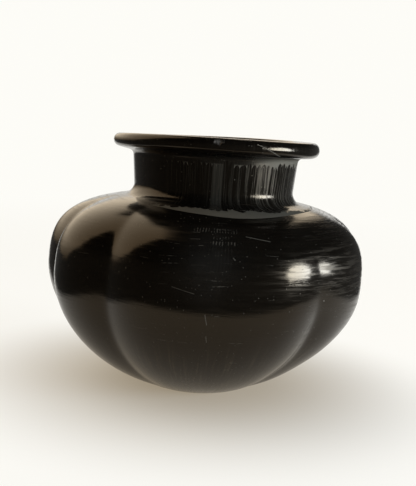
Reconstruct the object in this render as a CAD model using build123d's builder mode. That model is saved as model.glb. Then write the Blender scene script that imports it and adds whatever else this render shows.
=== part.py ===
from build123d import *
import os
from math import atan2, cos, hypot, pi, radians, sin, tan

# A black burnished jar with a melon-lobed body, a short neck and an everted lip.
# It is laid up from a moulded base, six wall coils, two neck coils and a rim coil.
# The foot rests on the plane z = 0 and the jar opens upward along +Z.

# Body sizes, in millimetres
FOOT_RADIUS = 38.0
BELLY_RADIUS = 115.0
BELLY_HEIGHT = 82.5
SHOULDER_RISE = 51.5
WALL = 6.5
FLOOR = 9.0
COIL_COUNT = 6

# How full the curves are between foot and belly and between belly and neck
LOWER_FULLNESS = 1.8
UPPER_FULLNESS = 3.1

# Melon lobes: the groove that faces the front is only a trace, one on the left is cut deepest
LOBE_COUNT = 9
GROOVE_DEPTH = 7.0
FRONT_GROOVE_DEPTH = 1.2
LEFT_GROOVE_DEPTH = 9.5

# The groove at the right of the front leans, by this many degrees over the height of the body
RIGHT_GROOVE_LEAN = 14.0
RIGHT_GROOVE_PIVOT = 47.5

# Neck and lip sizes
NECK_RADIUS = 57.0
NECK_OFFSET = 4.5
NECK_SPREAD = 9.0
NECK_ROOT_ROUND = 8.0
NECK_HEIGHT = 32.0
NECK_FLARE = 2.5
COVE_ROUND = 4.0
LIP_OVERHANG = 14.0
LIP_RISE = 4.5
LIP_THICKNESS = 7.6
LIP_EDGE_FLAT = 0.5
MOUTH_BEVEL = 6.0

# Lowest bed between coils, height of the last coil below the neck, and how far neck joints fall inward
BASE_JOINT_HEIGHT = 14.0
SHOULDER_COIL_DROP = 15.0
LAP = 3.0

# Sizes that follow from the ones above
PITCH = 2 * pi / LOBE_COUNT
NECK_ROOT_RADIUS = NECK_RADIUS + NECK_SPREAD
NECK_ROOT_HEIGHT = BELLY_HEIGHT + SHOULDER_RISE
SHOULDER_JOINT_HEIGHT = NECK_ROOT_HEIGHT - SHOULDER_COIL_DROP
FOOT_TURN = 1.0 - (FOOT_RADIUS / BELLY_RADIUS) ** LOWER_FULLNESS
ROOT_TURN = 1.0 - (NECK_ROOT_RADIUS / BELLY_RADIUS) ** UPPER_FULLNESS
NECK_PLANE = Plane(origin=(NECK_OFFSET, 0, 0), x_dir=(1, 0, 0), z_dir=(0, -1, 0))
NECK_AXIS = Axis((NECK_OFFSET, 0, 0), (0, 0, 1))
REACH = 3 * (BELLY_RADIUS + BELLY_HEIGHT)
LIP_SLOPE = atan2(LIP_RISE, LIP_OVERHANG)
LIP_ROUND = (LIP_THICKNESS - LIP_EDGE_FLAT) / (1.0 + 1.0 / tan(pi / 4 + LIP_SLOPE / 2))


def lower_wall(radius):
    """Height of the outside below the belly, where it has this crest radius."""
    turn = 1.0 - (radius / BELLY_RADIUS) ** LOWER_FULLNESS
    return BELLY_HEIGHT * (1.0 - (turn / FOOT_TURN) ** (1.0 / LOWER_FULLNESS))


def upper_wall(radius):
    """Height of the outside above the belly, where it has this crest radius."""
    turn = 1.0 - (radius / BELLY_RADIUS) ** UPPER_FULLNESS
    return BELLY_HEIGHT + SHOULDER_RISE * (turn / ROOT_TURN) ** (1.0 / UPPER_FULLNESS)


def outward(curve, radius):
    """Unit normal of the outside at this crest radius, as radial and upward shares."""
    step = 0.01
    run = curve(radius + step) - curve(radius - step)
    length = hypot(run, 2 * step)
    side = 1.0 if curve is upper_wall else -1.0
    return -side * run / length, side * 2 * step / length


def groove_share(radius, above):
    """How much of its full depth a groove has at this crest radius."""
    end = NECK_ROOT_RADIUS if above else FOOT_RADIUS
    share = max(0.0, (radius - end) / (BELLY_RADIUS - end))
    return share if above else share**0.5


def groove_depth(number):
    """Full depth of a groove, counted from the front toward +X."""
    if number == 0:
        return FRONT_GROOVE_DEPTH
    if number == LOBE_COUNT - 2:
        return LEFT_GROOVE_DEPTH
    return GROOVE_DEPTH


def groove_lean(number, height):
    """Angle by which a groove stands away from its regular place at this height."""
    if number == 1:
        return radians(RIGHT_GROOVE_LEAN) * (RIGHT_GROOVE_PIVOT - height) / NECK_ROOT_HEIGHT
    return 0.0


def lobed_outline(radius, height, share):
    """Points round one level section: parabolic lobes that meet in rounded grooves."""
    points = []
    for number in range(LOBE_COUNT):
        for part_way in (-0.55, -0.2, 0.0, 0.2, 0.55, 1.0):
            angle = (number + part_way / 2) * PITCH + groove_lean(number, height) * (1.0 - abs(part_way))
            fall = groove_depth(number) * share * (1.0 - abs(part_way)) ** 2
            points.append(((radius - fall) * sin(angle), -(radius - fall) * cos(angle)))
    return points


def lobed_loft(stations):
    """Solid through level sections given as radius, height, groove share."""
    with BuildPart() as body:
        for radius, height, share in stations:
            drift = NECK_OFFSET * min(1.0, height / NECK_ROOT_HEIGHT) ** 2
            with BuildSketch(Plane((drift, 0, height))):
                with BuildLine():
                    Spline(*lobed_outline(radius, height, share), periodic=True)
                make_face()
        loft()
    return body.part


def ring_region(*corners):
    """Solid swept round the neck axis from corners given as radius, height."""
    with BuildPart() as region:
        with BuildSketch(NECK_PLANE):
            with BuildLine():
                Polyline(*corners, close=True)
            make_face()
        revolve(axis=NECK_AXIS)
    return region.part


# Stations of the outside, from the foot over the belly to just past the neck root
lower_radii = [FOOT_RADIUS + (BELLY_RADIUS - FOOT_RADIUS) * sin(radians(step)) for step in (0, 16, 33, 50, 68)]
upper_radii = [NECK_ROOT_RADIUS + (BELLY_RADIUS - NECK_ROOT_RADIUS) * share for share in (0.96, 0.8, 0.55, 0.28, 0.0)]
crown_radius = NECK_ROOT_RADIUS - WALL
outside = [(radius, lower_wall(radius), groove_share(radius, False)) for radius in lower_radii]
outside.append((BELLY_RADIUS, BELLY_HEIGHT, 1.0))
outside += [(radius, upper_wall(radius), groove_share(radius, True)) for radius in upper_radii]
outside.append((crown_radius, upper_wall(crown_radius), 0.0))

# Stations of the inside, one wall thickness in along the normal, and level over the floor
inside = []
for curve, radii in ((lower_wall, lower_radii[1:]), (upper_wall, upper_radii + [crown_radius])):
    if curve is upper_wall:
        inside.append((BELLY_RADIUS - WALL, BELLY_HEIGHT, 1.0))
    for radius in radii:
        across, up = outward(curve, radius)
        share = groove_share(radius, curve is upper_wall)
        inside.append((radius - WALL * across, curve(radius) - WALL * up, share))
inside.insert(0, (FOOT_RADIUS, FLOOR, 0.0))

# The whole wall, before it is parted into coils
with BuildPart() as vessel:
    add(lobed_loft(outside))
    add(lobed_loft(inside), mode=Mode.SUBTRACT)

# The joint at the neck root runs straight through the wall, along its normal
root_across, root_up = outward(upper_wall, NECK_ROOT_RADIUS)
root_outer = (NECK_ROOT_RADIUS, NECK_ROOT_HEIGHT)
root_inner = (NECK_ROOT_RADIUS - WALL * root_across, NECK_ROOT_HEIGHT - WALL * root_up)
root_above = (NECK_ROOT_RADIUS + 3 * WALL * root_across, NECK_ROOT_HEIGHT + 3 * WALL * root_up)
root_below = (NECK_ROOT_RADIUS - 4 * WALL * root_across, NECK_ROOT_HEIGHT - 4 * WALL * root_up)

# Level beds between the base and the wall coils
rise = (SHOULDER_JOINT_HEIGHT - BASE_JOINT_HEIGHT) / (COIL_COUNT - 1)
beds = [BASE_JOINT_HEIGHT + rise * step for step in range(COIL_COUNT)]

# Base, pressed out in a dish, with the flat foot
with BuildPart() as base:
    add(vessel.part)
    split(bisect_by=Plane.XY.offset(beds[0]), keep=Keep.BOTTOM)
base.part.label = "base"

# Wall coils, each bedded on the one below
wall_coils = []
for number in range(COIL_COUNT - 1):
    with BuildPart() as wall_coil:
        add(vessel.part)
        split(bisect_by=Plane.XY.offset(beds[number]), keep=Keep.TOP)
        split(bisect_by=Plane.XY.offset(beds[number + 1]), keep=Keep.BOTTOM)
    wall_coil.part.label = f"wall_coil_{number + 1}"
    wall_coils.append(wall_coil.part)

# Last wall coil, closing the shoulder in to the neck root
with BuildPart() as shoulder_coil:
    add(vessel.part)
    split(bisect_by=Plane.XY.offset(beds[-1]), keep=Keep.TOP)
    add(ring_region((REACH, 0.0), (REACH, REACH), root_above, root_below), mode=Mode.INTERSECT)
shoulder_coil.part.label = "shoulder_coil"
wall_coils.append(shoulder_coil.part)

# Section of neck and lip: outside going up, over the lip, inside going down
slope = root_across / root_up
under_lip = NECK_ROOT_HEIGHT + NECK_HEIGHT
flared_radius = NECK_RADIUS + NECK_FLARE
lip_radius = flared_radius + LIP_OVERHANG
lip_under = under_lip + LIP_RISE
lip_top = lip_under + LIP_THICKNESS
inner_radius = NECK_RADIUS - WALL
collar_corners = [
    (root_outer, 0.0),
    ((NECK_RADIUS, NECK_ROOT_HEIGHT + NECK_SPREAD * slope), NECK_ROOT_ROUND),
    ((flared_radius, under_lip), COVE_ROUND),
    ((lip_radius, lip_under), LIP_ROUND),
    ((lip_radius, lip_top), LIP_ROUND),
    ((inner_radius + MOUTH_BEVEL, lip_top), LIP_ROUND),
    ((inner_radius, under_lip), NECK_ROOT_ROUND),
    ((inner_radius, root_inner[1] + (root_inner[0] - inner_radius) * slope), NECK_ROOT_ROUND),
    (root_inner, 0.0),
]

with BuildPart() as collar:
    with BuildSketch(NECK_PLANE):
        with BuildLine():
            FilletPolyline(
                *[corner for corner, rounding in collar_corners],
                radius=[rounding for corner, rounding in collar_corners],
                close=True,
            )
        make_face()
    revolve(axis=NECK_AXIS)


def neck_joint(height):
    """Line across the neck wall, lower on the inside, from the axis outward."""
    return [(0.0, height - LAP), (inner_radius, height - LAP), (flared_radius, height), (REACH, height)]


middle_joint = neck_joint(NECK_ROOT_HEIGHT + NECK_HEIGHT / 2)
rim_joint = neck_joint(under_lip - COVE_ROUND)

# Lower neck coil, spreading onto the shoulder
with BuildPart() as neck_coil_lower:
    add(collar.part)
    add(ring_region((0.0, 0.0), *middle_joint, (REACH, 0.0)), mode=Mode.INTERSECT)
neck_coil_lower.part.label = "neck_coil_lower"

# Upper neck coil, flaring a little toward the lip
with BuildPart() as neck_coil_upper:
    add(collar.part)
    add(ring_region(*middle_joint, *reversed(rim_joint)), mode=Mode.INTERSECT)
neck_coil_upper.part.label = "neck_coil_upper"

# Rim coil, turned outward into a thick round lip
with BuildPart() as rim_coil:
    add(collar.part)
    add(ring_region(*rim_joint, (REACH, REACH), (0.0, REACH)), mode=Mode.INTERSECT)
rim_coil.part.label = "rim_coil"

os.makedirs("parts", exist_ok=True)
for piece in [base.part, *wall_coils, neck_coil_lower.part, neck_coil_upper.part, rim_coil.part]:
    export_step(piece, f"parts/{piece.label}.step")
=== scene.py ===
import math

import bpy
import numpy as np
from mathutils import Matrix, Vector


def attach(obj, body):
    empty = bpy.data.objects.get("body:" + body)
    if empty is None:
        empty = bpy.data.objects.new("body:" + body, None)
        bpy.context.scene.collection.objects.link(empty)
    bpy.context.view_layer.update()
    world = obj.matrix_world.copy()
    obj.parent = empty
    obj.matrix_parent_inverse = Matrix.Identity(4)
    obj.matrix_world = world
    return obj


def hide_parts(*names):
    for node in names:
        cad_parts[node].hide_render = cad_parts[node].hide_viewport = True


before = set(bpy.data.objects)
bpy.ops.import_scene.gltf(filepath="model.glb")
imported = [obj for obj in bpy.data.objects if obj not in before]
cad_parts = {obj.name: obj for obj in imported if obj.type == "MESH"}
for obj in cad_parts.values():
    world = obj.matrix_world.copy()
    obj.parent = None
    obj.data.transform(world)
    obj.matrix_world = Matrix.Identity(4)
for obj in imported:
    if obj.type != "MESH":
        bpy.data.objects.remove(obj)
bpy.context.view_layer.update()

# Sizes of the jar in millimetres and degrees, the same as the solids have
MM = 0.001
FOOT_RADIUS = 38.0
BELLY_RADIUS = 115.0
BELLY_HEIGHT = 82.5
SHOULDER_RISE = 51.5
WALL = 6.5
FLOOR = 9.0
LOWER_FULLNESS = 1.8
UPPER_FULLNESS = 3.1
LOBE_COUNT = 9
GROOVE_DEPTH = 7.0
FRONT_GROOVE_DEPTH = 1.2
LEFT_GROOVE_DEPTH = 9.5
RIGHT_GROOVE_LEAN = 14.0
RIGHT_GROOVE_PIVOT = 47.5
NECK_RADIUS = 57.0
NECK_OFFSET = 4.5
NECK_SPREAD = 9.0
NECK_ROOT_ROUND = 8.0
NECK_HEIGHT = 32.0
NECK_FLARE = 2.5
COVE_ROUND = 4.0
LIP_OVERHANG = 14.0
LIP_RISE = 4.5
LIP_THICKNESS = 7.6
LIP_EDGE_FLAT = 0.5
MOUTH_BEVEL = 6.0
BASE_JOINT_HEIGHT = 14.0
SHOULDER_COIL_DROP = 15.0
BED_COUNT = 6
LAP = 3.0

# Sizes that follow from the ones above
PITCH = 2 * math.pi / LOBE_COUNT
NECK_ROOT_RADIUS = NECK_RADIUS + NECK_SPREAD
NECK_ROOT_HEIGHT = BELLY_HEIGHT + SHOULDER_RISE
SHOULDER_JOINT_HEIGHT = NECK_ROOT_HEIGHT - SHOULDER_COIL_DROP
LIP_SLOPE = math.atan2(LIP_RISE, LIP_OVERHANG)
LIP_ROUND = (LIP_THICKNESS - LIP_EDGE_FLAT) / (1 + 1 / math.tan(math.pi / 4 + LIP_SLOPE / 2))
FOOT_TURN = 1.0 - (FOOT_RADIUS / BELLY_RADIUS) ** LOWER_FULLNESS
ROOT_TURN = 1.0 - (NECK_ROOT_RADIUS / BELLY_RADIUS) ** UPPER_FULLNESS

# Fineness of the mesh: points round, points of a curve and an arc, and millimetres between rows
COLUMNS = 720
CURVE_POINTS = 900
ARC_POINTS = 25
BODY_GAP, NECK_GAP, LIP_GAP, INNER_NECK_GAP, INNER_GAP = 1.7, 1.0, 0.6, 1.6, 3.0
FEWEST_ROWS = 3
AXIS_GAP = 0.6
DISH_MARGIN = 10.0
SAME_POINT = 1e-6


# Section of the jar as one line of radius, height and share of the groove's depth

def lower_curve():
    """Outside from the foot to the belly."""
    turn = np.linspace(math.asin(math.sqrt(FOOT_TURN)), 0.0, CURVE_POINTS)
    radius = BELLY_RADIUS * np.cos(turn) ** (2 / LOWER_FULLNESS)
    height = BELLY_HEIGHT * (1 - (np.sin(turn) ** 2 / FOOT_TURN) ** (1 / LOWER_FULLNESS))
    share = np.sqrt(np.clip((radius - FOOT_RADIUS) / (BELLY_RADIUS - FOOT_RADIUS), 0, 1))
    return np.column_stack([radius, height, share])


def upper_curve():
    """Outside from the belly to the neck root."""
    turn = np.linspace(0.0, math.asin(math.sqrt(ROOT_TURN)), CURVE_POINTS)
    radius = BELLY_RADIUS * np.cos(turn) ** (2 / UPPER_FULLNESS)
    rise = (np.sin(turn) ** 2 / ROOT_TURN) ** (1 / UPPER_FULLNESS)
    share = np.clip((radius - NECK_ROOT_RADIUS) / (BELLY_RADIUS - NECK_ROOT_RADIUS), 0, 1)
    return np.column_stack([radius, BELLY_HEIGHT + SHOULDER_RISE * rise, share])


def inset(curve, depth):
    """The same curve, moved inward along its normal."""
    run = np.gradient(curve[:, :2], axis=0)
    run /= np.linalg.norm(run, axis=1)[:, None]
    inner = curve.copy()
    inner[:, 0] -= depth * run[:, 1]
    inner[:, 1] += depth * run[:, 0]
    return inner


def rounded(corners):
    """Line through corners given as (radius, height, rounding), with its corners rounded."""
    points = []
    for index, (r, z, rounding) in enumerate(corners):
        here = np.array([r, z])
        if rounding == 0:
            points.append(here)
            continue
        back = np.array(corners[index - 1][:2]) - here
        ahead = np.array(corners[index + 1][:2]) - here
        back /= np.linalg.norm(back)
        ahead /= np.linalg.norm(ahead)
        half = math.acos(float(np.clip(back @ ahead, -1, 1))) / 2
        middle = back + ahead
        centre = here + middle / np.linalg.norm(middle) * rounding / math.sin(half)
        start = here + back * rounding / math.tan(half) - centre
        end = here + ahead * rounding / math.tan(half) - centre
        first = math.atan2(start[1], start[0])
        sweep = (math.atan2(end[1], end[0]) - first + math.pi) % (2 * math.pi) - math.pi
        for share in np.linspace(0, 1, ARC_POINTS):
            turned = first + sweep * share
            points.append(centre + rounding * np.array([math.cos(turned), math.sin(turned)]))
    return np.array(points)


def strides(line):
    """Distance from each point of a section line to the next."""
    return np.linalg.norm(np.diff(line[:, :2], axis=0), axis=1)


lower = lower_curve()
upper = upper_curve()
lower_in = inset(lower, WALL)
upper_in = inset(upper, WALL)
root_inner = upper_in[-1]
slope = (root_inner[0] - upper[-1, 0]) / (root_inner[1] - upper[-1, 1])
under_lip = NECK_ROOT_HEIGHT + NECK_HEIGHT
flared_radius = NECK_RADIUS + NECK_FLARE
lip_radius = flared_radius + LIP_OVERHANG
lip_top = under_lip + LIP_RISE + LIP_THICKNESS
inner_radius = NECK_RADIUS - WALL
collar = rounded([
    (NECK_ROOT_RADIUS, NECK_ROOT_HEIGHT, 0),
    (NECK_RADIUS, NECK_ROOT_HEIGHT + NECK_SPREAD * slope, NECK_ROOT_ROUND),
    (flared_radius, under_lip, COVE_ROUND),
    (lip_radius, under_lip + LIP_RISE, LIP_ROUND),
    (lip_radius, lip_top, LIP_ROUND),
    (inner_radius + MOUTH_BEVEL, lip_top, LIP_ROUND),
    (inner_radius, under_lip, NECK_ROOT_ROUND),
    (inner_radius, root_inner[1] + (root_inner[0] - inner_radius) * slope, NECK_ROOT_ROUND),
    (root_inner[0], root_inner[1], 0),
])
collar = np.column_stack([collar, np.zeros(len(collar))])
dish = lower_in[lower_in[:, 0] > FOOT_RADIUS + DISH_MARGIN][::-1]
foot_line = [[AXIS_GAP, 0.0, 0.0]]
floor_line = [[FOOT_RADIUS, FLOOR, 0.0], [AXIS_GAP, FLOOR, 0.0]]
section = np.vstack([foot_line, lower, upper[1:], collar[1:], upper_in[::-1][1:], dish[1:], floor_line])
section = section[np.concatenate([[True], strides(section) > SAME_POINT])]
along = np.concatenate([[0.0], np.cumsum(strides(section))])
crest = int(np.argmax(section[:, 1]))


# Joints between the coils, as places along the section line

def at_height(height, outside):
    """Where along the section line the outside or the inside reaches this height."""
    part = slice(0, crest) if outside else slice(crest, None)
    heights = section[part, 1]
    places = along[part]
    above = np.nonzero(heights >= height)[0]
    over = above[0] if outside else above[-1]
    under = over - 1 if outside else over + 1
    share = (height - heights[under]) / (heights[over] - heights[under])
    return places[under] + (places[over] - places[under]) * share


def at_point(radius, height):
    """Where along the section line this point lies."""
    return along[np.argmin(np.abs(section[:, 0] - radius) + np.abs(section[:, 1] - height))]


beds = np.linspace(BASE_JOINT_HEIGHT, SHOULDER_JOINT_HEIGHT, BED_COUNT)
neck_joints = [NECK_ROOT_HEIGHT + NECK_HEIGHT / 2, under_lip - COVE_ROUND]
root_place = at_point(NECK_ROOT_RADIUS, NECK_ROOT_HEIGHT)
outer_cuts = [at_height(bed, True) for bed in beds] + [root_place]
outer_cuts += [at_height(joint, True) for joint in neck_joints]
inner_cuts = [at_height(bed, False) for bed in beds] + [at_point(root_inner[0], root_inner[1])]
inner_cuts += [at_height(joint - LAP, False) for joint in neck_joints]
rim_joint_place = outer_cuts[-1]
names = ["base"] + [f"wall_coil_{number}" for number in range(1, BED_COUNT)]
names += ["shoulder_coil", "neck_coil_lower", "neck_coil_upper", "rim_coil"]

# Rows of vertices along the section: fine outside, coarser inside, one on every joint
stops = [0.0] + outer_cuts + inner_cuts[::-1] + [along[-1]]
gaps = [BODY_GAP] * (BED_COUNT + 1) + [NECK_GAP] * 2 + [LIP_GAP]
gaps += [INNER_NECK_GAP] * 2 + [INNER_GAP] * (BED_COUNT + 1)
rows = [0.0]
for start, end, gap in zip(stops, stops[1:], gaps):
    count = max(FEWEST_ROWS, int(round((end - start) / gap)) + 1)
    rows += list(np.linspace(start, end, count)[1:])
rows = np.array(rows)
row_radius, row_height, row_share = (np.interp(rows, along, section[:, column]) for column in range(3))
row_of = [int(np.argmin(np.abs(rows - stop))) for stop in stops]

# Row of the neck's middle joint on the inside, where the polish ends
inside_from = row_of[len(outer_cuts) + 2]

# Rounding of a groove's bottom, as a share of half a lobe
GROOVE_SOFTNESS = 0.10

# Slight forms that only the scene has, in millimetres
RIGHT_GROOVE_FADE, FADE_FROM, FADE_OVER = 4.8, 52.0, 46.0
RIGHT_SWELL, SWELL_HEIGHT, SWELL_SPREAD = 1.4, 62.0, 18.0
RIGHT_HOLLOW, HOLLOW_HEIGHT, HOLLOW_SPREAD = 1.8, 22.0, 13.0
LIP_SWELL, LIP_SWELL_RIGHT, LIP_SWELL_PLACE, LIP_SWELL_SPREAD = 1.25, 0.6, 47.0, 5.0

# Waves of the hand-made wall: size, waves round, turn per millimetre of height, start
WALL_WAVES = [
    (0.30, 2, 0.0, 0.7),
    (0.22, 3, 1 / 60, -1.1),
    (0.16, 5, -1 / 45, 2.0),
    (0.03, 13, 1 / 23, 0.0),
    (0.02, 19, -1 / 17, 1.0),
]
WAVES_FULL_RADIUS = 60.0

# Waves of the lip: waves round, cosine part, sine part
LIP_WAVES = [(1, 0.22, 0.91), (2, 0.29, -0.36)]

# Chip out of the lip, its angle in degrees; its ragged edge as size, turn sideways, turn upward, start
CHIP_ANGLE, CHIP_PLACE, CHIP_HALF, CHIP_TALL, CHIP_DEPTH = -4.6, 4.6, 3.4, 2.2, 0.9
CHIP_STEEPNESS = 2.2
CHIP_WAVES = [(0.16, 2.1, 0.0, 0.6), (0.12, 4.3, 1.0, -1.3), (0.10, 0.9, 2.7, 0.0)]

# The lobed, slightly uneven surface on those rows, with angles from the front toward +X
around, height = np.meshgrid(np.arange(COLUMNS) * 2 * math.pi / COLUMNS, row_height)
crest_radius = row_radius[:, None]
groove_share = row_share[:, None]


def lobed_radius():
    """Radius with the grooves between the lobes. The groove at the right leans and fades out upward."""
    turn = around / PITCH
    nearest = np.round(turn)
    at_right = nearest == 1
    lean = math.radians(RIGHT_GROOVE_LEAN) * (RIGHT_GROOVE_PIVOT - height) / NECK_ROOT_HEIGHT / PITCH
    lean = np.where(at_right, lean, 0.0)
    aside = turn - nearest - lean
    way = np.abs(aside) / (0.5 - np.sign(aside) * lean)
    full = math.hypot(1, GROOVE_SOFTNESS)
    groove = ((full - np.hypot(way, GROOVE_SOFTNESS)) / (full - GROOVE_SOFTNESS)) ** 2
    depths = np.full(LOBE_COUNT, GROOVE_DEPTH)
    depths[0] = FRONT_GROOVE_DEPTH
    depths[LOBE_COUNT - 2] = LEFT_GROOVE_DEPTH
    depth = depths[nearest.astype(int) % LOBE_COUNT]
    fade = np.clip((height - FADE_FROM) / FADE_OVER, 0, 1)
    depth = depth - np.where(at_right, RIGHT_GROOVE_FADE * fade * fade * (3 - 2 * fade), 0.0)
    return crest_radius - depth * groove_share * groove


def bell(value, middle, spread):
    return np.exp(-((value - middle) / spread) ** 2)


def hand_made(radius):
    """Radius with the waves of the wall, and the fuller and leaner right side."""
    uneven = 0.0
    for size, waves, twist, start in WALL_WAVES:
        uneven = uneven + size * np.sin(waves * around + height * twist + start)
    radius = radius + uneven * np.clip(crest_radius / WAVES_FULL_RADIUS, 0, 1)
    at_right = np.clip(np.sin(around), 0, 1) ** 2 * np.clip(groove_share * 2, 0, 1)
    swell = RIGHT_SWELL * bell(height, SWELL_HEIGHT, SWELL_SPREAD)
    hollow = RIGHT_HOLLOW * bell(height, HOLLOW_HEIGHT, HOLLOW_SPREAD)
    return radius + at_right * (swell - hollow)


def lip_rise():
    """Rise and fall of the wavy lip, from nothing at the neck root."""
    rim_share = np.clip((height - NECK_ROOT_HEIGHT) / (lip_top - NECK_ROOT_HEIGHT), 0, 1)
    wave = 0.0
    for waves, cosine_part, sine_part in LIP_WAVES:
        wave = wave + cosine_part * np.cos(waves * around) + sine_part * np.sin(waves * around)
    return rim_share * wave


def chip_share():
    """How deep each vertex lies in the ragged chip on the near side of the lip, from 0 to 1."""
    turned = np.degrees((around + math.pi) % (2 * math.pi) - math.pi)
    sideways = np.radians(turned - CHIP_ANGLE) * lip_radius
    upward = rows[:, None] - (along[crest] - CHIP_PLACE)
    edge = 1.0
    for size, per_side, per_rise, start in CHIP_WAVES:
        edge = edge + size * np.sin(per_side * sideways + per_rise * upward + start)
    return np.clip((edge - np.hypot(sideways / CHIP_HALF, upward / CHIP_TALL)) * CHIP_STEEPNESS, 0, 1)


def surface_normals(points):
    down = np.gradient(points, axis=0)
    across = (np.roll(points, -1, axis=1) - np.roll(points, 1, axis=1)) / 2
    normals = np.cross(across, down)
    return normals / np.maximum(np.linalg.norm(normals, axis=-1, keepdims=True), 1e-12)


def push(points, distance):
    """Points moved out along the surface's normals, by millimetres."""
    return points + surface_normals(points) * (distance * MM)[..., None]


radius = hand_made(lobed_radius())
drift = NECK_OFFSET * np.clip(height / NECK_ROOT_HEIGHT, 0, 1) ** 2
surface = [drift + radius * np.sin(around), -radius * np.cos(around), height + lip_rise()]
surface = np.stack(surface, axis=-1) * MM
lip_swell = bell(rows[:, None], root_place + LIP_SWELL_PLACE, LIP_SWELL_SPREAD)
surface = push(surface, lip_swell * (LIP_SWELL + LIP_SWELL_RIGHT * np.sin(around)))
chip = chip_share()
surface = push(surface, -CHIP_DEPTH * chip)
facing = surface_normals(surface)


# One closed mesh for each piece of clay

def make_mesh(name, bands, is_base):
    """Mesh from bands of rows. Joint faces between bands are flat, the rest is smooth."""
    picks = np.concatenate([np.arange(first, last + 1) for first, last in bands])
    count = len(picks)
    verts = surface[picks].reshape(-1, 3)
    ends = np.cumsum([last - first + 1 for first, last in bands])
    column = np.arange(COLUMNS)
    after = (column + 1) % COLUMNS
    quads = []
    flat = []
    for row in range(count - 1 if is_base else count):
        here = row * COLUMNS
        onward = (row + 1) % count * COLUMNS
        quads.append(np.column_stack([here + column, here + after, onward + after, onward + column]))
        flat.append(np.full(COLUMNS, (row + 1) in ends))
    quads = np.vstack(quads)
    flat = np.concatenate(flat)
    corner = verts[quads]
    face_normal = np.cross(corner[:, 2] - corner[:, 0], corner[:, 3] - corner[:, 1])
    face_normal /= np.maximum(np.linalg.norm(face_normal, axis=1, keepdims=True), 1e-15)
    loop_normals = facing[picks].reshape(-1, 3)[quads.ravel()]
    loop_normals[np.repeat(flat, 4)] = np.repeat(face_normal[flat], 4, axis=0)
    faces = quads.tolist()
    if is_base:
        faces.append(column[::-1].tolist())
        faces.append(((count - 1) * COLUMNS + column).tolist())
        caps = [(0.0, 0.0, -1.0)] * COLUMNS + [(0.0, 0.0, 1.0)] * COLUMNS
        loop_normals = np.vstack([loop_normals, caps])
    mesh = bpy.data.meshes.new(name)
    mesh.from_pydata(verts.tolist(), [], faces)
    mesh.polygons.foreach_set("use_smooth", np.ones(len(faces), dtype=bool))
    marks = {
        "meridian": np.repeat(rows[picks] * MM, COLUMNS),
        "inside": np.repeat(picks > inside_from, COLUMNS),
        "chip": chip[picks].ravel(),
    }
    for label, values in marks.items():
        layer = mesh.attributes.new(label, "FLOAT", "POINT")
        layer.data.foreach_set("value", values.astype(np.float32))
    mesh.update()
    mesh.normals_split_custom_set(loop_normals.tolist())
    return mesh


pieces = {}
last_stop = len(stops) - 1
for index, name in enumerate(names):
    bands = [(row_of[index], row_of[index + 1])]
    if name != "rim_coil":
        bands.append((row_of[last_stop - 1 - index], row_of[last_stop - index]))
    piece = bpy.data.objects.new(f"skin_{name}", make_mesh(f"skin_{name}", bands, name == "base"))
    bpy.context.collection.objects.link(piece)
    pieces[name] = piece


# Node trees, written as sums

class Value:
    """Output of a node. Sums and products of values become math nodes."""

    def __init__(self, graph, socket):
        self.graph = graph
        self.socket = socket

    def __add__(self, other):
        return self.graph.math("ADD", self, other)

    def __sub__(self, other):
        return self.graph.math("SUBTRACT", self, other)

    def __rsub__(self, other):
        return self.graph.math("SUBTRACT", other, self)

    def __mul__(self, other):
        return self.graph.math("MULTIPLY", self, other)

    def __truediv__(self, other):
        return self.graph.math("DIVIDE", self, other)


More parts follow.
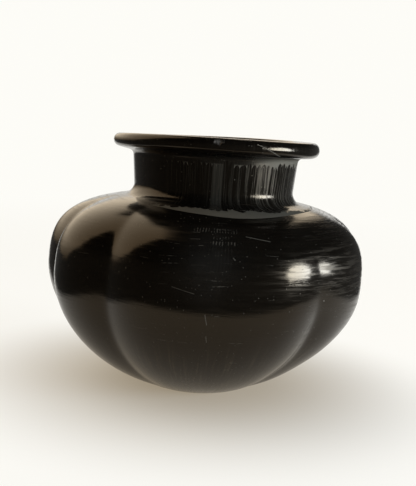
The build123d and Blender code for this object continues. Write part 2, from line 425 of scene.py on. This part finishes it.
class Graph:
    """Node tree of a material or a world, with a short method for each kind of node in use."""

    def __init__(self, owner):
        owner.use_nodes = True
        self.tree = owner.node_tree
        self.tree.nodes.clear()

    def node(self, kind, inputs, **settings):
        """Node with its inputs set or linked, by name or number."""
        made = self.tree.nodes.new(kind)
        for setting, choice in settings.items():
            setattr(made, setting, choice)
        for key, value in inputs.items():
            if isinstance(value, Value):
                self.tree.links.new(value.socket, made.inputs[key])
            else:
                made.inputs[key].default_value = value
        return made

    def value(self, node, output=0):
        return Value(self, node.outputs[output])

    def parts(self, kind, whole):
        """The three parts of a vector or a colour."""
        split = self.node(kind, {0: whole})
        return [self.value(split, index) for index in range(3)]

    def coordinates(self, space):
        texture = self.node("ShaderNodeTexCoord", {})
        return self.parts("ShaderNodeSeparateXYZ", self.value(texture, space))

    def attribute(self, label):
        return self.value(self.node("ShaderNodeAttribute", {}, attribute_name=label), "Fac")

    def math(self, operation, one, two=0.0, three=0.0, clamp=False):
        inputs = {0: one, 1: two, 2: three}
        return self.value(self.node("ShaderNodeMath", inputs, operation=operation, use_clamp=clamp))

    def most(self, one, two):
        return self.math("MAXIMUM", one, two)

    def size(self, value):
        return self.math("ABSOLUTE", value)

    def step(self, value, low, high, start=0.0, end=1.0):
        """Smooth change from start to end while the value goes from low to high."""
        inputs = {"Value": value, "From Min": low, "From Max": high, "To Min": start, "To Max": end}
        return self.value(self.node("ShaderNodeMapRange", inputs, interpolation_type="SMOOTHSTEP"))

    def fall(self, value, low, high):
        """1 up to low, 0 from high on."""
        return self.step(value, low, high, 1.0, 0.0)

    def window(self, value, low, high, soft):
        """1 between low and high, 0 outside."""
        return self.step(value, low - soft, low + soft) * self.fall(value, high - soft, high + soft)

    def hill(self, value, middle, width):
        """Bell curve of a value."""
        off = (value - middle) / width
        return self.math("EXPONENT", off * off * -1.0)

    def vector(self, x, y, z):
        return self.value(self.node("ShaderNodeCombineXYZ", {0: x, 1: y, 2: z}))

    def apart(self, one, two):
        """Vector from the second place to the first."""
        return self.value(self.node("ShaderNodeVectorMath", {0: one, 1: two}, operation="SUBTRACT"))

    def dot(self, one, two):
        inputs = {0: one, 1: tuple(two)}
        return self.value(self.node("ShaderNodeVectorMath", inputs, operation="DOT_PRODUCT"), "Value")

    def noise(self, place, scale, detail=2.0, rough=0.5):
        inputs = {"Vector": place, "Scale": scale, "Detail": detail, "Roughness": rough}
        return self.value(self.node("ShaderNodeTexNoise", inputs, noise_dimensions="3D"))

    def cells(self, place, scale, dimensions):
        inputs = {"Vector": place, "Scale": scale}
        return self.node("ShaderNodeTexVoronoi", inputs, voronoi_dimensions=dimensions)

    def chance(self, cell, seed):
        """Fixed random number of a cell, from 0 to 1."""
        inputs = {"Vector": self.vector(cell, seed, 0.0)}
        return self.value(self.node("ShaderNodeTexWhiteNoise", inputs, noise_dimensions="2D"), "Value")

    def mix(self, share, one, two):
        """Number between two numbers."""
        return self.value(self.node("ShaderNodeMix", {0: share, 2: one, 3: two}, data_type="FLOAT"), 0)

    def blend(self, share, one, two):
        """Colour between two colours."""
        return self.value(self.node("ShaderNodeMix", {0: share, 6: one, 7: two}, data_type="RGBA"), 2)

    def finish(self, kind, inputs, output):
        """The shader, led to the tree's output."""
        self.node(output, {"Surface": self.value(self.node(kind, inputs))})


# Burnished blackware, with angles in degrees from the front and places in millimetres past the neck root
BLACK, BLACK_BROWN = (0.0006, 0.0005, 0.0004, 1), (0.0062, 0.0049, 0.0035, 1)
BARE_DARK, BARE_LIGHT = (0.053, 0.0487, 0.0385, 1), (0.100, 0.0915, 0.0730, 1)
FOOT_STREAK = (0.034, 0.0255, 0.0150, 1)
HAZE_GREY = (0.030, 0.028, 0.025, 1)
WORN_CLAY = (0.13, 0.12, 0.10, 1)
BROKEN_DARK, BROKEN_LIGHT = (0.010, 0.009, 0.008, 1), (0.11, 0.10, 0.09, 1)
SHINE, SHINE_TINT = 0.29, (1.0, 0.77, 0.52, 1)
SMOOTHEST, LEAST_SMOOTH = 0.12, 0.24
BARE_ROUGH, WORN_ROUGH, HAZE_ROUGH, RUBBED_ROUGH = 0.82, 0.75, 0.12, 0.24
ROUGHER_GRAIN, STREAK_GRAIN = (0.40, 0.70), (0.48, 0.72)
MOTTLE_SHARE, GRAIN_SHARE, HAZE_SHARE = 0.4, 0.6, 0.5
WORN_SHARE, SPECK_SHARE, WORN_ROUGH_SHARE = 0.6, 0.6, 0.8
GRAIN_RELIEF, MOTTLE_RELIEF, WORN_RELIEF, POLISH_RELIEF = 0.5, 0.7, 0.5, 0.25
BUMP_STRENGTH, BUMP_HEIGHT = 0.32, 0.4

# Scales of its noise and specks, in cells per metre
MOTTLE_SCALE, SWAY_SCALE, BARE_EDGE_SCALE, LIP_EDGE_SCALE, HAZE_SCALE = 26.0, 75.0, 30.0, 60.0, 70.0
SPECK_SCALE, BREAK_SCALE, TICK_SWAY_SCALE, TICK_BREAK_SCALE, CHIP_SCALE = 520.0, 420.0, 90.0, 300.0, 700.0

clay = bpy.data.materials.new("blackware")
ware = Graph(clay)
x, y, z = ware.coordinates("Object")
up_share = ware.math("DIVIDE", z, NECK_ROOT_HEIGHT * MM, clamp=True)
x = x - ware.math("POWER", up_share, 2.0) * (NECK_OFFSET * MM)
here = ware.vector(x, y, z)
meridian = ware.attribute("meridian")
outside = 1.0 - ware.attribute("inside")
chipped = ware.attribute("chip")
angle = ware.math("ARCTAN2", x, y * -1.0) * math.degrees(1)
past_root = (meridian - root_place * MM) * (1 / MM)

# Fine marks of burnishing: level on the body, upright near the foot and on the neck
LEVEL_ACROSS, LEVEL_ALONG = 42.0, 560.0
UPRIGHT_ROUND, UPRIGHT_ALONG = 0.9, 22.0
FOOT_HEIGHTS, NECK_ZONE = (20.0, 60.0), (-6.0, 2.0)
level_at = ware.vector(x * LEVEL_ACROSS, y * LEVEL_ACROSS, meridian * LEVEL_ALONG)
upright_at = ware.vector(angle * UPRIGHT_ROUND, meridian * UPRIGHT_ALONG, 0.0)
level = ware.noise(level_at, 1.0, detail=3.0, rough=0.6)
upright = ware.noise(upright_at, 1.0, detail=3.0, rough=0.6)
low_down = ware.fall(z, FOOT_HEIGHTS[0] * MM, FOOT_HEIGHTS[1] * MM)
grain = ware.mix(ware.most(low_down, ware.step(past_root, *NECK_ZONE)), level, upright)
mottle = ware.noise(here, MOTTLE_SCALE, detail=4.0, rough=0.55)

# Upright strokes of the polishing stone on the neck, and painted shade in the hollow under the lip
STROKE_WIDTH, STROKE_BEND, STROKE_SWAY, SWAY_STRETCH = 3.7, 9.0, 2.4, 0.4
LOW_END, LOW_SPREAD, LOW_BLUR, LOW_SEED = -9.5, 5.0, 0.3, 3.7
HIGH_END, HIGH_SPREAD, HIGH_BLUR, HIGH_SEED = 32.0, 3.0, 0.4, 11.9
GAP_GRAIN, GAP_ANGLES, GAP_SHARES = (0.46, 0.62), (3.0, 30.0), (0.08, 0.22)
STRIP_ANGLES, STRIP_BLUR, STRIP_SHARE = (-7.2, -0.4), 0.5, 0.20
COVE_ZONE, COVE_SHADE_ANGLES, COVE_SHADE_SHARES = (30.0, 33.0), (12.0, 42.0), (0.95, 0.1)


def strokes_and_painted_cove_shade():
    """Strokes with ragged ends and a few gaps, and under the lip painted shade at the left, bare slip at
    the right.
    """
    sway = ware.noise(ware.vector(x, y, z * SWAY_STRETCH), SWAY_SCALE, detail=3.0) * STROKE_SWAY
    stroke = angle * (math.radians(1) * NECK_RADIUS / STROKE_WIDTH) + sway
    cell = ware.math("FLOOR", stroke)
    off_middle = ware.size(ware.math("FRACT", stroke) - 0.5)
    bend = ware.math("POWER", off_middle, 2.0) * STROKE_BEND
    low_end = ware.chance(cell, LOW_SEED) * LOW_SPREAD + LOW_END + bend
    high_end = ware.chance(cell, HIGH_SEED) * HIGH_SPREAD - (bend - HIGH_END)
    above_low = ware.step(past_root - low_end, -LOW_BLUR, LOW_BLUR)
    length = above_low * ware.fall(past_root - high_end, -HIGH_BLUR, HIGH_BLUR)
    gap = ware.step(upright, *GAP_GRAIN) * ware.step(angle, *GAP_ANGLES, *GAP_SHARES)
    bare_strip = ware.window(angle, *STRIP_ANGLES, STRIP_BLUR)
    stroked = length * (1.0 - gap) * (1.0 - bare_strip * STRIP_SHARE)
    # Painted shade: the hollow under the lip takes dark polish at its left and bare slip only at its right
    cove_shade = ware.step(past_root, *COVE_ZONE) * ware.step(angle, *COVE_SHADE_ANGLES, *COVE_SHADE_SHARES)
    return ware.most(stroked, cove_shade)


# Bare slip on the front of the neck, between its wavy lower edge and the lip
BARE_FROM, BARE_DIP, BARE_WANDER, BARE_BLUR = -8.5, -12.0, 3.0, 0.25
BARE_DIP_ANGLE, BARE_DIP_WIDTH = 5.0, 33.0
BARE_LEFT, BARE_RIGHT = (-43.0, -33.0), (64.0, 110.0)
LIP_MARGIN, LIP_EDGE, LIP_WANDER = 9.0, 1.2, 1.6


def polish_and_painted_cove_shade():
    """1 where the slip is burnished, 0 where it is bare: between the strokes on the neck, and inside.
    Painted shade at the left under the lip.
    """
    dip = ware.hill(angle, BARE_DIP_ANGLE, BARE_DIP_WIDTH) * BARE_DIP
    lower_edge = dip + ware.noise(here, BARE_EDGE_SCALE, detail=3.0) * BARE_WANDER + BARE_FROM
    on_neck = ware.step(past_root - lower_edge, -BARE_BLUR, BARE_BLUR)
    on_neck = on_neck * (ware.step(angle, *BARE_LEFT) * ware.fall(angle, *BARE_RIGHT))
    lip_from = rim_joint_place - root_place + LIP_MARGIN
    wandering = past_root + ware.noise(here, LIP_EDGE_SCALE) * LIP_WANDER
    on_lip = ware.step(wandering, lip_from, lip_from + LIP_EDGE)
    return ware.mix(on_neck, 1.0, ware.most(strokes_and_painted_cove_shade(), on_lip)) * outside


# Specks and short scratches
SPECK_SIZE, SPECK_LUCK = (0.10, 0.20), (0.83, 0.94)
SPECK_FRONT, SPECK_FRONT_WIDTH, MORE_SPECKS_IN_FRONT = -3.0, 17.0, 0.11
SHORT_ROUND, SHORT_ALONG = 0.12, 0.17
SHORT_WIDTH, SHORT_LENGTH, SHORT_LUCK = (0.02, 0.06), (0.12, 0.42), (0.70, 0.95)
SHORT_TOP, SHORT_BREAKS = (-30.0, -24.0), (0.40, 0.55)
LEVEL_TILT, TILT_SPREAD = 0.4, 0.5
SHORT_FRONT, SHORT_FRONT_WIDTH = -4.0, 14.0
SHORT_STRENGTH, STRONGER_IN_FRONT = 0.17, 0.40


def specks():
    """Light specks, more of them in front."""
    dots = ware.cells(here, SPECK_SCALE, "3D")
    luck = ware.parts("ShaderNodeSeparateColor", ware.value(dots, "Color"))[0]
    in_front = ware.hill(angle, SPECK_FRONT, SPECK_FRONT_WIDTH)
    chosen = ware.step(luck + in_front * MORE_SPECKS_IN_FRONT, *SPECK_LUCK)
    return ware.fall(ware.value(dots, "Distance"), *SPECK_SIZE) * chosen


def short_scratches():
    """Short, nearly level scratches below the shoulder's top, stronger in front."""
    spread = ware.vector(angle * SHORT_ROUND, past_root * SHORT_ALONG, 0.0)
    cells = ware.cells(spread, 1.0, "2D")
    from_middle = ware.apart(spread, ware.value(cells, "Position"))
    aside, upward, _ = ware.parts("ShaderNodeSeparateXYZ", from_middle)
    luck, tilt, _ = ware.parts("ShaderNodeSeparateColor", ware.value(cells, "Color"))
    off_line = ware.size(upward - aside * ((tilt - LEVEL_TILT) * TILT_SPREAD))
    line = ware.fall(off_line, *SHORT_WIDTH) * ware.fall(ware.size(aside), *SHORT_LENGTH)
    line = line * (ware.step(luck, *SHORT_LUCK) * ware.fall(past_root, *SHORT_TOP))
    broken = ware.step(ware.noise(here, BREAK_SCALE), *SHORT_BREAKS)
    in_front = ware.hill(angle, SHORT_FRONT, SHORT_FRONT_WIDTH)
    return line * broken * (in_front * STRONGER_IN_FRONT + SHORT_STRENGTH)


# Long scratches: angle and place of both ends, width in millimetres, strength
LIP_SCRATCHES = [
    ((15.0, 55.0), (29.5, 48.5), 0.40, 0.8),
    ((-2.0, 58.6), (12.0, 57.6), 0.45, 0.6),
]
BODY_SCRATCHES = [
    ((7.0, -38.6), (15.5, -42.0), 0.42, 0.8),
    ((-15.0, -73.7), (-8.0, -77.0), 0.38, 0.5),
    ((-4.2, -89.4), (-3.2, -96.6), 0.50, 0.7),
    ((-3.0, -104.8), (-2.6, -109.9), 0.45, 0.6),
    ((2.6, -54.0), (3.4, -55.6), 0.80, 0.5),
    ((38.2, -82.2), (38.6, -83.0), 0.80, 1.0),
]
LIP_REACH, BODY_REACH = 72.0, 109.0


def long_scratches(scratched, reach, scratches):
    """Adds straight scratches to a part of the jar that is about this far from its axis."""
    stretch = math.radians(1) * reach
    spot = ware.vector(angle * stretch, past_root, 0.0)
    for start, end, width, strength in scratches:
        begin = Vector((start[0] * stretch, start[1], 0.0))
        run = Vector((end[0] * stretch, end[1], 0.0)) - begin
        onward = run.normalized()
        sideward = Vector((-onward.y, onward.x, 0.0))
        middle = begin + run / 2
        across = ware.math("COMPARE", ware.dot(spot, sideward), begin.dot(sideward), width / 2)
        length = ware.math("COMPARE", ware.dot(spot, onward), middle.dot(onward), run.length / 2)
        scratched = ware.most(scratched, across * length * strength)
    return scratched


# Rows of fine ticks: first and last angle, middle place, half height, strength
TICK_ROWS = [
    (-11.0, 4.0, -34.6, 1.9, 0.42),
    (-4.4, 1.0, -40.6, 1.2, 0.35),
    (-4.6, 3.4, -44.9, 1.3, 0.55),
    (-5.0, 2.5, -55.0, 8.0, 0.05),
]
TICK_SWAY, TICK_WIDTH, TICK_BREAKS = 0.9, (0.10, 0.24), (0.35, 0.6)
TICK_SIDE_BLUR, TICK_END_BLUR = 0.5, 0.6


def tick_rows(scratched):
    """Adds rows of fine upright ticks on the shoulder, about one to a degree."""
    swaying = angle + ware.noise(here, TICK_SWAY_SCALE) * TICK_SWAY
    off_tick = ware.size(ware.math("FRACT", swaying) - 0.5)
    ticked = ware.fall(off_tick, *TICK_WIDTH) * ware.step(ware.noise(here, TICK_BREAK_SCALE), *TICK_BREAKS)
    for first, final, middle, half, strength in TICK_ROWS:
        wide = ware.window(angle, first, final, TICK_SIDE_BLUR)
        tall = ware.window(past_root, middle - half, middle + half, TICK_END_BLUR)
        scratched = ware.most(scratched, wide * tall * ticked * strength)
    return scratched


# Zones in front and at the right: middle and width of each, as angle and place
HAZE_MIDDLE, HAZE_WIDTH = (-5.0, -58.0), (9.0, 20.0)
RUBBED_MIDDLE, RUBBED_WIDTH = (52.0, -55.0), (24.0, 34.0)
RUBBED_GRAIN = (0.34, 0.68)


def zone(middle, width):
    """Soft spot on the surface, 1 in its middle."""
    return ware.hill(angle, middle[0], width[0]) * ware.hill(past_root, middle[1], width[1])


# Share of polish, with painted shade at the left of the hollow under the lip
polish_and_cove_shade = polish_and_painted_cove_shade()
haze = zone(HAZE_MIDDLE, HAZE_WIDTH) * ware.noise(here, HAZE_SCALE, detail=4.0, rough=0.7)
rubbed = zone(RUBBED_MIDDLE, RUBBED_WIDTH) * ware.step(level, *RUBBED_GRAIN)
scratched = long_scratches(short_scratches(), LIP_REACH, LIP_SCRATCHES)
scratched = tick_rows(long_scratches(scratched, BODY_REACH, BODY_SCRATCHES))
worn = ware.most(scratched, specks() * SPECK_SHARE) * outside

# Colour, roughness and relief from those marks
dark = ware.blend(mottle * MOTTLE_SHARE + grain * GRAIN_SHARE, BLACK, BLACK_BROWN)
dark = ware.blend(ware.step(upright, *STREAK_GRAIN) * low_down, dark, FOOT_STREAK)
colour = ware.blend(polish_and_cove_shade, ware.blend(mottle, BARE_DARK, BARE_LIGHT), dark)
colour = ware.blend(haze * HAZE_SHARE, colour, HAZE_GREY)
colour = ware.blend(worn * WORN_SHARE, colour, WORN_CLAY)
broken_clay = ware.blend(ware.noise(here, CHIP_SCALE, detail=3.0), BROKEN_DARK, BROKEN_LIGHT)
colour = ware.blend(chipped, colour, broken_clay)
rough = ware.mix(polish_and_cove_shade, BARE_ROUGH, ware.step(grain, *ROUGHER_GRAIN, SMOOTHEST, LEAST_SMOOTH))
rough = rough + haze * HAZE_ROUGH + rubbed * RUBBED_ROUGH
rough = ware.mix(ware.most(chipped, worn * WORN_ROUGH_SHARE), rough, WORN_ROUGH)
relief = grain * GRAIN_RELIEF + mottle * MOTTLE_RELIEF - worn * WORN_RELIEF - polish_and_cove_shade * POLISH_RELIEF
bump = {"Strength": BUMP_STRENGTH, "Distance": BUMP_HEIGHT * MM, "Height": relief}
ware.finish("ShaderNodeBsdfPrincipled", {
    "Base Color": colour,
    "Roughness": rough,
    "Specular IOR Level": SHINE,
    "Specular Tint": SHINE_TINT,
    "Normal": ware.value(ware.node("ShaderNodeBump", bump)),
}, "ShaderNodeOutputMaterial")

for name, piece in pieces.items():
    piece.data.materials.append(clay)
    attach(piece, "root")
    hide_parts(name)

# Pale floor in metres: a pool round the jar, and behind it a fan laid out from the photograph's viewpoint
GROUND_HALF = 6.0
POOL_LEFT, POOL_RIGHT, POOL_FRONT, POOL_BACK = 0.21, 0.31, 0.20, 0.30
POOL_SQUARENESS, POOL_EDGE = 4.0, 1.15
VIEW_FROM, VIEW_TURN = (-0.055, -0.591), math.radians(5.6)
FAN_SLOPE, FAN_EDGE, FAN_START = 0.29, 0.10, (-0.05, 0.05)
SHADE_ZONE, FAR_ZONE = (0.03, 0.21), (0.40, 1.4)
GREY, WHITE = (0.10, 0.099, 0.0945, 1), (0.985, 0.975, 0.93, 1)
PALE_DARK, PALE_LIGHT = (0.90, 0.895, 0.87, 1), (0.93, 0.925, 0.90, 1)
SHADE, OPEN_FLOOR = (0.32, 0.268, 0.195, 1), (0.845, 0.836, 0.799, 1)
UNLIT, LIT = (0.0, 0.0, 0.0, 1), (0.20, 0.198, 0.190, 1)
FLOOR_ROUGH, TONE_SCALE = 0.9, 1.5
view_x, view_y = math.sin(VIEW_TURN), math.cos(VIEW_TURN)


def pale_floor():
    """Pale floor that ends in grey, glowing as painted light, with a painted warm shadow at the foot.

    Camera, glossy and transmission rays see it, and other rays see a plain pale colour.
    """
    material = bpy.data.materials.new("pale_floor")
    floor = Graph(material)
    x, y, z = floor.coordinates("Object")
    away = floor.math("SQRT", x * x + y * y)
    wide = floor.math("POWER", floor.most(x / POOL_RIGHT, x / -POOL_LEFT), POOL_SQUARENESS)
    deep = floor.math("POWER", floor.most(y / POOL_BACK, y / -POOL_FRONT), POOL_SQUARENESS)
    pool = floor.fall(floor.math("POWER", wide + deep, 1 / POOL_SQUARENESS), 1.0, POOL_EDGE)
    off_x = x - VIEW_FROM[0]
    off_y = y - VIEW_FROM[1]
    onward = off_x * view_x + off_y * view_y
    sideward = off_x * view_y - off_y * view_x
    fan = floor.fall(floor.size(sideward) / onward, FAN_SLOPE, FAN_SLOPE + FAN_EDGE)
    # Painted pool of light: the floor glows pale in the pool and the fan, and grey beyond
    bright = floor.most(pool, fan * floor.step(y, *FAN_START))
    far = floor.step(away, *FAR_ZONE)
    path = floor.node("ShaderNodeLightPath", {})
    showing = floor.most(floor.value(path, "Is Camera Ray"), floor.value(path, "Is Glossy Ray"))
    showing = floor.most(showing, floor.value(path, "Is Transmission Ray"))
    plain = floor.blend(floor.noise(floor.vector(x, y, z), TONE_SCALE), PALE_DARK, PALE_LIGHT)
    lit = floor.blend(bright * (1.0 - far), UNLIT, LIT)
    # Painted warm shadow round the foot, fading to the open floor's glow
    painted_shadow_and_glow = floor.blend(floor.step(away, *SHADE_ZONE), SHADE, OPEN_FLOOR)
    floor.finish("ShaderNodeBsdfPrincipled", {
        "Base Color": floor.blend(showing, plain, lit),
        "Roughness": FLOOR_ROUGH,
        "Specular IOR Level": 0.0,
        "Emission Color": floor.blend(bright, GREY, floor.blend(far, painted_shadow_and_glow, WHITE)),
        "Emission Strength": showing,
    }, "ShaderNodeOutputMaterial")
    return material


bpy.ops.mesh.primitive_plane_add(size=2 * GROUND_HALF, location=(0, 0, 0))
ground = bpy.context.object
ground.name = "floor"
ground.data.materials.append(pale_floor())

# World, the same for every ray, in degrees: azimuth 0 is the front and 90 is +X
WALL_MIDDLE, WALL_HALF, WALL_EDGE = -146.0, 37.0, 3.0
WALL_TOP_BACK, WALL_TOP_LEFT, WALL_FOOT_FROM, WALL_FOOT_TO = 44.0, 72.0, -2.0, 14.0
BACKDROP_HALF, BACKDROP_EDGE, BACKDROP_TOP, BACKDROP_END = 15.8, 1.0, 10.5, 14.0
WALL_LIGHT = (1.80, 1.52, 1.14, 1)
WALL_FOOT, WALL_FOOT_BACK = (0.52, 0.41, 0.27, 1), (0.15, 0.11, 0.07, 1)
CEILING = (0.02, 0.019, 0.018, 1)

# Where and by how much the wall and the room change, as parts of a direction from 0 to 1
WALL_WIDER_TO, WALL_WIDER_BY, WALL_FAN_FROM, WALL_FAN = 0.32, 0.19, 0.2, 0.30
LEFT_ZONE, BACK_ZONE, WALL_TOP_BLUR, CEILING_FROM = (0.30, 0.75), (0.72, 0.95), 0.03, 0.5


def sine(degrees):
    return math.sin(math.radians(degrees))


def cosine(degrees):
    return math.cos(math.radians(degrees))


def studio():
    """A pale backdrop low down behind the jar, a warm wall behind and at the left, and a dim room.

    The backdrop is as wide as the photograph's view from its own viewpoint.
    """
    room_around = bpy.data.worlds.new("studio")
    sky = Graph(room_around)
    x, y, up = sky.coordinates("Generated")
    flat = sky.math("SQRT", sky.most(x * x + y * y, 1e-6))
    toward = (x * sine(WALL_MIDDLE) + y * -cosine(WALL_MIDDLE)) / flat
    toward = toward + sky.step(up, 0.0, WALL_WIDER_TO, 0.0, WALL_WIDER_BY)
    toward = toward + sky.most(up - WALL_FAN_FROM, 0.0) * WALL_FAN
    beside = sky.step(toward, cosine(WALL_HALF + WALL_EDGE), cosine(WALL_HALF - WALL_EDGE))
    wall_top = sky.step(x * -1.0 / flat, *LEFT_ZONE, sine(WALL_TOP_BACK), sine(WALL_TOP_LEFT))
    under_top = sky.fall(up - wall_top, -WALL_TOP_BLUR, WALL_TOP_BLUR)
    wall_foot = sky.blend(sky.step(y / flat, *BACK_ZONE), WALL_FOOT, WALL_FOOT_BACK)
    wall = sky.blend(sky.step(up, sine(WALL_FOOT_FROM), sine(WALL_FOOT_TO)), wall_foot, WALL_LIGHT)
    room = sky.blend(sky.step(up, 0.0, CEILING_FROM), GREY, CEILING)
    onward = (x * view_x + y * view_y) / flat
    behind = sky.step(onward, cosine(BACKDROP_HALF + BACKDROP_EDGE), cosine(BACKDROP_HALF))
    behind = behind * sky.fall(up, sine(BACKDROP_TOP), sine(BACKDROP_END))
    light = sky.blend(behind, sky.blend(beside * under_top, room, wall), WHITE)
    sky.finish("ShaderNodeBackground", {"Color": light, "Strength": 1.0}, "ShaderNodeOutputWorld")
    return room_around


bpy.context.scene.world = studio()

# One soft lamp, low at the right: metres, and degrees seen from the jar
LAMP_AZIMUTH, LAMP_ELEVATION, LAMP_FAR = 67.0, 6.0, 2.4
LAMP_WIDE, LAMP_TALL = 32.0, 24.0
LAMP_POWER, LAMP_COLOUR = 118.0, (0.86, 0.99, 1.13)
LAMP_AIM = Vector((0, 0, 0.09))
lamp = bpy.data.lights.new("lamp_right", "AREA")
lamp.shape = "ELLIPSE"
lamp.size = 2 * LAMP_FAR * math.tan(math.radians(LAMP_WIDE / 2))
lamp.size_y = 2 * LAMP_FAR * math.tan(math.radians(LAMP_TALL / 2))
lamp.energy = LAMP_POWER
lamp.color = LAMP_COLOUR
holder = bpy.data.objects.new("lamp_right", lamp)
reach = cosine(LAMP_ELEVATION)
toward_lamp = Vector((sine(LAMP_AZIMUTH) * reach, -cosine(LAMP_AZIMUTH) * reach, sine(LAMP_ELEVATION)))
holder.location = LAMP_AIM + LAMP_FAR * toward_lamp
holder.rotation_euler = (-toward_lamp).to_track_quat("-Z", "Y").to_euler()
holder.visible_camera = False
bpy.context.collection.objects.link(holder)

# Camera from the photograph's perspective: millimetres, pixels, degrees for the turn, otherwise radians
CAMERA_FAR = 593.6
CAMERA_HEIGHT = 183.6
CAMERA_TURN = -5.3
FOCAL_PX = 820.7
FRAME_PX = 486
SENSOR = 36.0
YAW, PITCH_DOWN, ROLL = 0.0053, 0.1378, 0.0683
ahead = math.cos(PITCH_DOWN)
forward = Vector((math.sin(YAW) * ahead, math.cos(YAW) * ahead, -math.sin(PITCH_DOWN)))
level_right = Vector((math.cos(YAW), -math.sin(YAW), 0.0))
level_top = level_right.cross(forward)
right = math.cos(ROLL) * level_right + math.sin(ROLL) * level_top
top = math.cos(ROLL) * level_top - math.sin(ROLL) * level_right
stand = Matrix((right, top, -forward)).transposed().to_4x4()
stand.translation = Vector((0, -CAMERA_FAR * MM, CAMERA_HEIGHT * MM))
lens = bpy.data.cameras.new("camera")
lens.sensor_width = SENSOR
lens.lens = FOCAL_PX / FRAME_PX * SENSOR
eye = bpy.data.objects.new("camera", lens)
eye.matrix_world = Matrix.Rotation(math.radians(CAMERA_TURN), 4, "Z") @ stand
bpy.context.collection.objects.link(eye)
bpy.context.scene.camera = eye
bpy.context.scene.view_settings.view_transform = "Standard"
